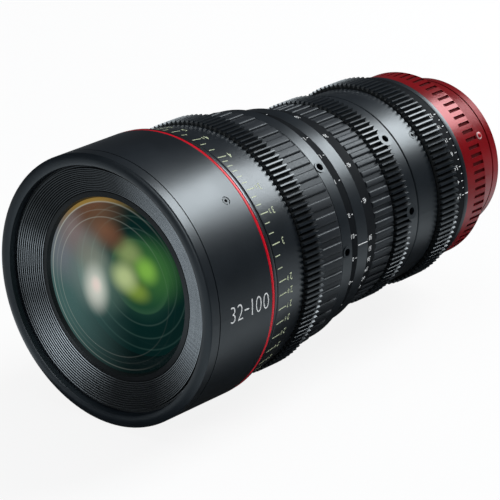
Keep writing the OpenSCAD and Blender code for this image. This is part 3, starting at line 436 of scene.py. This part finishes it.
def deep_painted_glow():
    """The element behind it: a painted glow, dark teal, with a green glow about the axis."""
    make = Shader("deep_painted_glow")
    body = make.ramp(make.radius(SECOND_GLASS_R), DEEP_TONES)
    return glass_with_painted_light(make, layered(make, body, DEEP_SPOTS), SECOND_HIDES, SECOND_FACE_END)


# The mount's index: its radius, its place, and its tones from the middle to the rim
DOME_R = 1.9
DOME_REACH = 36.6
DOME_STATION = 209.1
DOME_ANGLE = math.radians(30)
DOME_TONES = [(0.0, (0.36, 0.006, 0.012)), (0.58, (0.40, 0.008, 0.015)), (0.64, (0.70, 0.52, 0.52)),
              (0.90, (0.70, 0.52, 0.52)), (0.96, (0.20, 0.004, 0.008))]


def dot_finish():
    """The index mark of the mount: a red dome in a pale ring."""
    make = Shader("dome_red")
    shader = make.principled((0.50, 0.01, 0.02), 0.25, 0.0, 0.5, RED_TINT)
    size = DOME_R * MM
    reach = DOME_REACH * MM
    middle = Vector((reach * math.cos(DOME_ANGLE), station(DOME_STATION), reach * math.sin(DOME_ANGLE)))
    apart = make.length(make.mapped((1 / size,) * 3, tuple(-middle / size)))
    make.link(make.ramp(apart, DOME_TONES), shader.inputs["Base Color"])
    make.bumped(shader, make.noise(900.0, 2.0), 0.05, GRAIN)
    return make.material


def inner_glass():
    """The groups behind: nearly clear, with a faint violet and teal film."""
    make = Shader("inner_glass")
    shader = make.principled((0.02, 0.05, 0.05), 0.04, 0.0, 0.5)
    film = make.noise(30.0, 1.0)
    make.link(make.ramp(film, [(0.3, (0.03, 0.02, 0.06)), (0.7, (0.01, 0.05, 0.05))]),
              shader.inputs["Base Color"])
    shader.inputs["Alpha"].default_value = 0.15
    return make.material


BLACK = (0.0055, 0.0082, 0.0118)
MATT = (0.0040, 0.0050, 0.0066)
CELL = (0.0050, 0.0055, 0.0062)
RED = (0.175, 0.0018, 0.0046)

# Radii between which teeth and slots darken with painted shade
WIDE_TEETH = (53.2, 54.7)
NARROW_TEETH = (44.0, 45.5)
RED_SLOTS = (41.66, 41.95)

barrel_black = anodised("barrel_black", BLACK, 0.36)
matt_black = anodised("matt_black", MATT, 0.60, 0.07)
grip_black = moulded("grip_black", (0.0100, 0.0120, 0.0155), 0.50, 0.36)
inside_black = anodised("inside_black", CELL, 0.60, 0.2)
red_slots = anodised("red_slots", RED, 0.28, 0.5, 0.3, RED_TINT, *RED_SLOTS, RED_SLOT_SHADE)
accent_red = anodised("accent_red", (0.60, 0.006, 0.020), 0.28, 0.5, 0.1, RED_TINT)
bevel_metal = turned("bevel_metal", (0.070, 0.076, 0.084), 0.32)

set_material(barrel_black, "front_barrel", "mid_ring", "rear_barrel", "focus_band", "zoom_band")
set_material(anodised("scale_black", BLACK, 0.30, 0.6), "focus_scale")
set_material(matt_black, "distance_band", "zoom_scale", "iris_scale")
set_material(anodised("wide_gear", BLACK, 0.32, 0.48, 0.15, COOL, *WIDE_TEETH), "focus_gear")
set_material(anodised("narrow_gear", BLACK, 0.32, 0.48, 0.15, COOL, *NARROW_TEETH),
             "zoom_gear", "iris_gear")
set_material(ribbed(), "front_baffle")
set_material(anodised("retainer_black", CELL, 0.35, 0.5), "front_retainer")
set_material(inside_black, "front_cell", "iris_housing", "iris_cover", "relay_cell", "rear_cell",
             "focus_cell", "variator_cell", "compensator_cell")
set_material(turned("tube_metal", (0.45, 0.46, 0.48), 0.35), "main_tube", "focus_sleeve")
set_material(anodised("red_finish", RED, 0.28, 0.5, 0.3, RED_TINT), "rear_flange")
set_material(turned("mount_steel", (0.62, 0.63, 0.65), 0.22), "mount_ring")
set_material(turned("screw_steel", (0.30, 0.31, 0.32), 0.3), "mount_screws")
set_material(anodised("screw_black", (0.012, 0.013, 0.015), 0.40, 0.5), "barrel_screws")
set_material(moulded("contact_black", (0.012, 0.012, 0.012), 0.45), "contact_block")
set_material(turned("contact_gold", (0.80, 0.55, 0.20), 0.25), "contact_pins")
set_material(dot_finish(), "index_dome")
set_material(turned("guide_bronze", (0.45, 0.33, 0.18), 0.35), "guide_tube", "iris_actuator")
set_material(turned("cam_brass", (0.60, 0.45, 0.20), 0.30), "cam_barrel")
set_material(turned("pin_steel", (0.50, 0.50, 0.52), 0.20),
             "zoom_key", "iris_key", "focus_pins", "variator_pins")
set_material(anodised("blade_black", (0.02, 0.02, 0.022), 0.45, 0.4), *["blade_%d" % i for i in range(1, 10)])
set_material(front_painted_reflection(), "front_glass")
set_material(deep_painted_glow(), "second_glass")
set_material(inner_glass(), "relay_glass", "rear_glass", "focus_glass", "variator_glass", "compensator_glass")


# Rings with a form of their own, in place of the plain ones of the model. Sizes are in millimetres.

SHARP = math.radians(38)


def wrapped(name, node, body, material, angles, rows):
    """A closed ring of rows of points round the axis. A row is a station and a radius for each angle."""
    made = bmesh.new()
    grid = [[made.verts.new((reach * MM * math.cos(angle), station(z), reach * MM * math.sin(angle)))
             for angle, reach in zip(angles, reaches)]
            for z, reaches in rows]
    for row, following in zip(grid, grid[1:] + grid[:1]):
        for i in range(len(angles)):
            j = (i + 1) % len(angles)
            made.faces.new((row[i], row[j], following[j], following[i]))
    bmesh.ops.recalc_face_normals(made, faces=made.faces[:])
    mesh = bpy.data.meshes.new(name)
    made.to_mesh(mesh)
    made.free()
    mesh.shade_smooth()
    mesh.set_sharp_from_angle(angle=SHARP)
    mesh.materials.append(material)
    piece = bpy.data.objects.new(name, mesh)
    bpy.context.scene.collection.objects.link(piece)
    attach(piece, body)
    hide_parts(node)


def level(reach, angles):
    """The same radius at every angle."""
    return [reach] * len(angles)


FACETS = 360


def lathe_ring(name, node, body, material, outline):
    """A turned ring. Its outline of radii and stations runs from bore to bore over the outside."""
    angles = [2 * math.pi * i / FACETS for i in range(FACETS)]
    wrapped(name, node, body, material, angles, [(z, level(reach, angles)) for reach, z in outline])


# A grip's pads: how their edges are rounded, their rise, the bare rim at each end, and their share
# of the pitch
PAD_ROUND = 0.8
PAD_RISE = 0.9
PAD_MARGIN = 0.7
PAD_SHARE = 0.62
PAD_STEPS = [math.radians(turn) for turn in range(0, 91, 15)]


def grip_ring(name, node, body, count, bore, valley, start, end):
    """Rubber with raised pads, rounded along all their edges."""
    half = valley * math.tan(math.pi * PAD_SHARE / count)
    inset = half - PAD_ROUND
    shoulder = PAD_RISE - PAD_ROUND
    edge = [(inset + PAD_ROUND * math.sin(t), shoulder + PAD_ROUND * math.cos(t)) for t in PAD_STEPS]
    edge.append((half, 0.0))
    back = edge[::-1]
    across = [(-x, rise) for x, rise in back] + edge
    angles = [math.atan2(x, valley) + 2 * math.pi * i / count for i in range(count) for x, rise in across]
    rises = [rise for i in range(count) for x, rise in across]
    foot = start + PAD_MARGIN + half
    top = end - PAD_MARGIN - half
    ends = [(foot - x, rise) for x, rise in back] + [(top + x, rise) for x, rise in edge]
    rows = [(start, level(bore, angles)), (start, level(valley, angles))]
    rows += [(z, [valley + min(rise, limit) for rise in rises]) for z, limit in ends]
    rows += [(end, level(valley, angles)), (end, level(bore, angles))]
    wrapped(name, node, body, grip_black, angles, rows)


# A row of slots: how many, the radius of their floor and where they start and end. Then the draft of
# a wall, in millimetres along the ring and in degrees round it, and the points of one pitch, in
# degrees: on a slot's floor, and on the land up to the next slot.
SLOT_COUNT = 72
SLOT_FLOOR = 41.5
SLOT_START = 192.2
SLOT_END = 199.6
SLOT_DRAFT = 0.03
SLOT_POINTS = (-1.0, 0.0, 1.0)
LAND_POINTS = (1.8, 2.5, 3.2)


def slotted_ring(name, node, body, material, outline):
    """A turned ring with a row of straight slots. Its outline runs as that of a lathe ring."""
    wall = SLOT_POINTS[-1] + SLOT_DRAFT
    pitch = [(-wall, False)] + [(turn, True) for turn in SLOT_POINTS]
    pitch += [(turn, False) for turn in (wall, *LAND_POINTS)]
    angles = [math.radians(360 * i / SLOT_COUNT + turn) for i in range(SLOT_COUNT) for turn, cut in pitch]
    top = max(reach for reach, z in outline)
    slotted = [SLOT_FLOOR if cut else top for i in range(SLOT_COUNT) for turn, cut in pitch]
    rows = [(z, level(reach, angles)) for reach, z in outline if z < SLOT_START]
    rows += [(SLOT_START, level(top, angles)), (SLOT_START + SLOT_DRAFT, slotted)]
    rows += [(SLOT_END - SLOT_DRAFT, slotted), (SLOT_END, level(top, angles))]
    rows += [(z, level(reach, angles)) for reach, z in outline if z > SLOT_END]
    wrapped(name, node, body, material, angles, rows)


NAME_OUTLINE = [(41.0, 186.3), (41.8, 186.3), (42.1, 186.6), (42.1, 199.7), (41.8, 200.0), (41.0, 200.0)]
INDEX_OUTLINE = [(41.0, 182.9), (43.20, 182.9), (43.30, 183.05), (43.18, 185.5), (42.2, 186.3),
                 (41.0, 186.3)]
BEVEL_OUTLINE = [(54.5, 38.8), (56.60, 38.8), (56.85, 38.95), (56.80, 40.1), (56.1, 41.3), (54.5, 41.3)]
ACCENT_OUTLINE = [(54.5, 37.0), (56.60, 37.0), (56.85, 37.15), (56.97, 37.5),
                  (56.97, 38.2), (56.85, 38.55), (56.55, 38.75), (54.5, 38.75)]

grip_ring("focus_pads", "focus_grip", "focus_ring", count=50, bore=49.504, valley=51.004, start=72.5, end=89.0)
grip_ring("zoom_pads", "zoom_grip", "zoom_ring", count=62, bore=41.2, valley=43.8, start=118.3, end=132.3)
slotted_ring("name_band", "name_ring", "barrel", red_slots, NAME_OUTLINE)
lathe_ring("index_band", "index_ring", "barrel", barrel_black, INDEX_OUTLINE)
lathe_ring("bevel_band", "bevel_ring", "barrel", bevel_metal, BEVEL_OUTLINE)
lathe_ring("accent_band", "accent_ring", "barrel", accent_red, ACCENT_OUTLINE)


# Markings: thin inlays of paint, laid on the rings that carry them

# How far the paint stands over the metal, how deep it is rooted, how finely a form is cut to bend
# round its ring, and from how far out a ray comes in to find the metal
PAINT_TOP = 0.035 * MM
PAINT_FOOT = 0.06 * MM
CUT = 0.9 * MM
OUTSIDE = 90 * MM

# Turns of digits on their ring, in degrees: to be read from the front's side, and lying along the ring
TO_FRONT = 180
ALONG = 90


class Marks:
    """Numbers and lines on one ring, gathered in one piece that rides with it.
    The carrier is a node of the model, or a ring made here in place of one."""

    def __init__(self, name, carrier, body, material):
        self.name = name
        self.body = body
        self.material = material
        mesh = (nodes[carrier] if carrier in nodes else bpy.data.objects[carrier]).data
        self.skin = BVHTree.FromPolygons([v.co for v in mesh.vertices], [p.vertices for p in mesh.polygons])
        self.made = bmesh.new()

    def ground(self, y, angle):
        """The point of the ring at a place along the axis and an angle, and the direction out of it."""
        out = Vector((math.cos(angle), 0, math.sin(angle)))
        hit = self.skin.ray_cast(out * OUTSIDE + Vector((0, y, 0)), -out)[0]
        if hit is None:
            raise RuntimeError("%s: nothing to lay a mark on at %.1f mm" % (self.name, y / MM))
        return hit, out

    def lay(self, form, z, degrees, turn):
        """Wraps a flat form, drawn about its own middle in metres, round the ring.
        A turn of 0 reads towards the mount, and one of TO_FRONT towards the front."""
        for vert in form.verts:
            vert.co.z = PAINT_TOP if vert.co.z > 0 else -PAINT_FOOT
        form.transform(Matrix.Rotation(math.radians(turn), 4, "Z"))
        middle = self.ground(station(z), math.radians(degrees))[0]
        reach = math.hypot(middle.x, middle.z)
        height = [v.co.y for v in form.verts]
        line = min(height) + CUT
        while line < max(height):
            everything = form.verts[:] + form.edges[:] + form.faces[:]
            bmesh.ops.bisect_plane(form, geom=everything, dist=1e-7,
                                   plane_co=(0, line, 0), plane_no=(0, 1, 0))
            line += CUT
        copies = {}
        for vert in form.verts:
            hit, out = self.ground(station(z) + vert.co.x, math.radians(degrees) + vert.co.y / reach)
            copies[vert] = self.made.verts.new(hit + out * vert.co.z)
        for face in form.faces:
            self.made.faces.new([copies[v] for v in face.verts])
        form.free()

    def number(self, text, z, degrees, height, turn=0, narrow=0.85, thin=0.0):
        """Digits of a height in millimetres, narrowed across and thinned in their strokes."""
        curve = bpy.data.curves.new("digits", "FONT")
        curve.body = text
        curve.resolution_u = 3
        curve.extrude = 0.05
        curve.offset = -thin
        holder = bpy.data.objects.new("digits", curve)
        mesh = bpy.data.meshes.new_from_object(holder)
        form = bmesh.new()
        form.from_mesh(mesh)
        bpy.data.objects.remove(holder)
        bpy.data.curves.remove(curve)
        bpy.data.meshes.remove(mesh)
        bmesh.ops.remove_doubles(form, verts=form.verts[:], dist=1e-4)
        xs = [v.co.x for v in form.verts]
        ys = [v.co.y for v in form.verts]
        size = height * MM / (max(ys) - min(ys))
        x_middle = (min(xs) + max(xs)) / 2
        y_middle = (min(ys) + max(ys)) / 2
        for vert in form.verts:
            vert.co.x = (vert.co.x - x_middle) * size * narrow
            vert.co.y = (vert.co.y - y_middle) * size
        self.lay(form, z, degrees, turn)

    def line(self, z, degrees, length, width):
        """A line along the axis, of a length and a width in millimetres."""
        form = bmesh.new()
        bmesh.ops.create_cube(form, size=1.0)
        for vert in form.verts:
            vert.co.x *= length * MM
            vert.co.y *= width * MM
        self.lay(form, z, degrees, 0)

    def finish(self):
        """Makes the piece and lets it ride with its body."""
        bmesh.ops.recalc_face_normals(self.made, faces=self.made.faces[:])
        mesh = bpy.data.meshes.new(self.name)
        self.made.to_mesh(mesh)
        self.made.free()
        mesh.materials.append(self.material)
        piece = bpy.data.objects.new(self.name, mesh)
        bpy.context.scene.collection.objects.link(piece)
        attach(piece, self.body)


white_paint = paint("white_paint", (0.88, 0.90, 0.90))
green_paint = paint("green_paint", (0.58, 0.64, 0.42))


# The focus scale at rest, in inches and degrees. Near distances run on one curve up to the knee, and
# far ones on another that ends at the endless mark.
FOOT = 12
METRE = 39.37
FOCUS_KNEE = 72.0
KNEE_ANGLE = 108.75
NEAR_ANGLE = 196.25
NEAR_RUN = 6300.0
FAR_RUN = 43.0
ENDLESS_ANGLE = KNEE_ANGLE + FAR_RUN

FOCUS_NUMBERED = (*range(20, 34), 36, 39, 42, 48, 54, 60, 66, 72, 84, 96, 120, 180, 300)
FOCUS_SHORT = (34, 35, 37, 38, 40, 41, 43, 44, 45, 46, 47, 50, 52, 57, 63, 69, 78, 90, 108, 145, 220)
METRES_NUMBERED = (0.6, 0.65, 0.7, 0.75, 0.8, 0.85, 0.9, 1, 1.1, 1.2, 1.5, 2, 3, 5)

# The zoom scale: where its index stands, the even step of its long end and the focal lengths there, and
# the wide end's places from the index, in degrees, with theirs
ZOOM_INDEX = 2.0
ZOOM_STEP = 6.2
ZOOM_LONG = (50, 53, 56, 59, 62, 66, 70, 75, 80, 85, 90, 95, 100)
ZOOM_WIDE = [(80.0, 32), (60.0, 36), (40.0, 40), (20.0, 45)]

# The iris scale: where its index stands, the ring's turn and its stops, evenly spread over the turn
IRIS_INDEX = 1.3
IRIS_TURN = 50.0
STOPS = ("2.8", "4", "5.6", "8", "11", "16", "22")

# The range on the front barrel: where it starts, its angle, and each sign with the room that it takes
RANGE_START = 11.2
RANGE_ANGLE = 1.0
RANGE_SIGNS = (("3", 4.3), ("2", 4.3), ("-", 3.4), ("1", 3.3), ("0", 4.5), ("0", 4.5))


def focus_angle(inches):
    """Where a distance stands round the ring when the ring is at rest, from close by to far away."""
    if inches <= FOCUS_KNEE:
        return NEAR_ANGLE - NEAR_RUN / inches
    return KNEE_ANGLE + FAR_RUN * (1.0 - FOCUS_KNEE / inches)


def make_focus_marks():
    """Feet and inches, each with a long tick, short ticks between, and an 8 on its side for the farthest."""
    marks = Marks("marks_focus", "focus_scale", "focus_ring", green_paint)
    for inches in FOCUS_NUMBERED:
        degrees = focus_angle(inches)
        feet, rest = divmod(inches, FOOT)
        marks.line(45.9, degrees, length=5.2, width=0.42)
        feet_z = 51.0
        if rest:
            rest_z, feet_z = (49.9, 52.2) if rest < 10 else (50.5, 53.4)
            marks.number("%d" % rest, rest_z, degrees, height=2.0, turn=TO_FRONT)
        marks.number("%d" % feet, feet_z, degrees, height=2.9, turn=TO_FRONT)
    for inches in FOCUS_SHORT:
        marks.line(45.0, focus_angle(inches), length=3.4, width=0.38)
    marks.line(45.7, ENDLESS_ANGLE, length=4.6, width=0.34)
    marks.number("8", 51.0, ENDLESS_ANGLE, height=4.0, turn=ALONG, narrow=0.8)
    marks.finish()


def make_distance_marks():
    marks = Marks("marks_distance", "distance_band", "focus_ring", white_paint)
    for metres in METRES_NUMBERED:
        degrees = focus_angle(metres * METRE)
        marks.number("%g" % metres, 98.2, degrees, height=1.9, turn=TO_FRONT)
        marks.line(101.0, degrees, length=0.9, width=0.30)
    marks.finish()


def make_zoom_marks():
    marks = Marks("marks_zoom", "zoom_scale", "zoom_ring", white_paint)
    places = ZOOM_WIDE + [(-ZOOM_STEP * i, focal) for i, focal in enumerate(ZOOM_LONG)]
    for turn, focal in places:
        marks.line(110.9, ZOOM_INDEX + turn, length=1.0, width=0.30)
        marks.number("%d" % focal, 113.6, ZOOM_INDEX + turn, height=2.1, turn=TO_FRONT)
    marks.finish()


def make_iris_marks():
    marks = Marks("marks_iris", "iris_scale", "iris_ring", white_paint)
    step = IRIS_TURN / (len(STOPS) - 1)
    for i, stop in enumerate(STOPS):
        degrees = IRIS_INDEX + i * step
        marks.line(181.3, degrees, length=1.4, width=0.30)
        marks.number(stop, 178.4, degrees, height=1.9, turn=TO_FRONT)
        if i:
            marks.line(181.5, degrees - step / 2, length=0.9, width=0.26)
    marks.finish()


def make_fixed_marks():
    marks = Marks("marks_zoom_index", "mid_ring", "barrel", white_paint)
    marks.line(106.0, ZOOM_INDEX, length=6.2, width=0.42)
    marks.finish()
    marks = Marks("marks_iris_index", "index_band", "barrel", white_paint)
    marks.line(184.28, IRIS_INDEX, length=2.2, width=0.46)
    marks.finish()
    marks = Marks("marks_range", "front_barrel", "barrel", white_paint)
    z = RANGE_START
    for sign, step in RANGE_SIGNS:
        if sign == "-":
            marks.line(z + step / 2, RANGE_ANGLE, length=2.6, width=0.62)
        else:
            marks.number(sign, z + step / 2, RANGE_ANGLE, height=6.8, narrow=0.80, thin=0.018)
        z += step
    marks.finish()


make_camera()
make_focus_marks()
make_distance_marks()
make_zoom_marks()
make_iris_marks()
make_fixed_marks()


# The studio

FLOOR_Z = -58.0 * MM
FLOOR_HALF = 6.0
FLOOR_WHITE = 0.88
LENS_MIDDLE = Vector((0, -110 * MM, 0))

# What gloss sees of the floor, in metres: an ellipse under the lens, which takes up a tenth of the ramp, and
# tones along the
# ramp from its middle outwards: a painted shadow under the lens, a painted band of light round it, and dimmer
# floor beyond
PATCH_X = 0.110
PATCH_Y = 0.230
PATCH_MIDDLE = 0.110
PATCH_SHARE = 0.1
FLOOR_TINT = (0.90, 0.96, 1.0)
GLOSS_FLOOR_LIGHT_AND_SHADOW = [(0.0, 0.02), (0.064, 0.03), (0.084, 1.0), (0.102, 1.0), (0.135, 0.58),
               (0.20, 0.45), (0.38, 0.36), (0.65, 0.10), (1.0, 0.08)]

# The room's tint, and its strength over the upright of a ray's direction
ROOM_TINT = (0.92, 0.96, 1.0, 1)
CEILING = (("From Min", 0.70), ("From Max", 0.95), ("To Min", 0.05), ("To Max", 0.80))


def floor_material():
    """A pale floor that the camera sees as white, with the object's shadow left on it.
    Gloss sees painted light on it: pale round the object, with a painted shadow close under it."""
    make = Shader("floor_white")
    shader = make.principled((0.85, 0.85, 0.85), 0.8, 0.0, 0.1)
    rays = make.node("ShaderNodeLightPath")
    glow = make.node("ShaderNodeEmission")
    seen = make.combined("MAXIMUM", rays.outputs["Is Camera Ray"], rays.outputs["Is Transmission Ray"])
    seen = make.combined("MULTIPLY", seen, FLOOR_WHITE)
    # Painted shadow and light for gloss: dark within the ellipse under the lens, bright round it
    patch = make.mapped((1 / PATCH_X, 1 / PATCH_Y, 0.0), (0.0, PATCH_MIDDLE / PATCH_Y, 0.0))
    around = make.combined("MULTIPLY", make.length(patch), PATCH_SHARE)
    mirrored = make.node("ShaderNodeEmission")
    make.link(make.ramp(around, [(place, shade(FLOOR_TINT, tone)) for place, tone in GLOSS_FLOOR_LIGHT_AND_SHADOW]),
              mirrored.inputs["Color"])
    plain = make.mixed(seen, shader, glow)
    whole = make.mixed(rays.outputs["Is Glossy Ray"], plain, mirrored)
    make.link(whole.outputs[0], make.output.inputs["Surface"])
    return make.material


def make_floor():
    mesh = bpy.data.meshes.new("floor")
    corners = ((-1, -1), (1, -1), (1, 1), (-1, 1))
    mesh.from_pydata([(x * FLOOR_HALF, y * FLOOR_HALF, FLOOR_Z) for x, y in corners], [], [(0, 1, 2, 3)])
    mesh.materials.append(floor_material())
    floor = bpy.data.objects.new("floor", mesh)
    bpy.context.scene.collection.objects.link(floor)


def make_lamp(name, direction, distance, width, height, watts, color):
    """A soft box that looks at the lens, level along its width."""
    data = bpy.data.lights.new(name, "AREA")
    data.shape = "RECTANGLE"
    data.size = width
    data.size_y = height
    data.energy = watts
    data.color = color
    lamp = bpy.data.objects.new(name, data)
    back = Vector(direction).normalized()
    across = Vector((0, 1, 0)).cross(back).normalized()
    turned_to = Matrix((across, back.cross(across), back)).transposed().to_4x4()
    lamp.matrix_world = Matrix.Translation(LENS_MIDDLE + back * distance) @ turned_to
    bpy.context.scene.collection.objects.link(lamp)


def make_world():
    """A dark room with a pale ceiling, which the camera sees as white all round."""
    world = bpy.data.worlds.new("studio")
    world.use_nodes = True
    tree = world.node_tree
    background = tree.nodes["Background"]
    background.inputs["Color"].default_value = ROOM_TINT
    place = tree.nodes.new("ShaderNodeTexCoord").outputs["Generated"]
    parts = tree.nodes.new("ShaderNodeSeparateXYZ")
    tree.links.new(place, parts.inputs[0])
    height = tree.nodes.new("ShaderNodeMapRange")
    height.interpolation_type = "SMOOTHSTEP"
    tree.links.new(parts.outputs["Z"], height.inputs["Value"])
    for name, value in CEILING:
        height.inputs[name].default_value = value
    rays = tree.nodes.new("ShaderNodeLightPath")
    strength = height.outputs[0]
    for seen in ("Is Camera Ray", "Is Transmission Ray"):
        greater = tree.nodes.new("ShaderNodeMath")
        greater.operation = "MAXIMUM"
        tree.links.new(rays.outputs[seen], greater.inputs[0])
        tree.links.new(strength, greater.inputs[1])
        strength = greater.outputs[0]
    tree.links.new(strength, background.inputs["Strength"])
    bpy.context.scene.world = world


make_floor()
make_world()
make_lamp("key", (0.2455, 0.713, 0.6566), distance=1.6, width=0.75, height=0.75, watts=27,
          color=(0.96, 0.98, 1.0))
make_lamp("front_fill", (0.05, -0.93, 0.36), distance=1.6, width=0.60, height=0.45, watts=8.5,
          color=(0.97, 0.98, 1.0))
bpy.context.scene.view_settings.view_transform = "Standard"
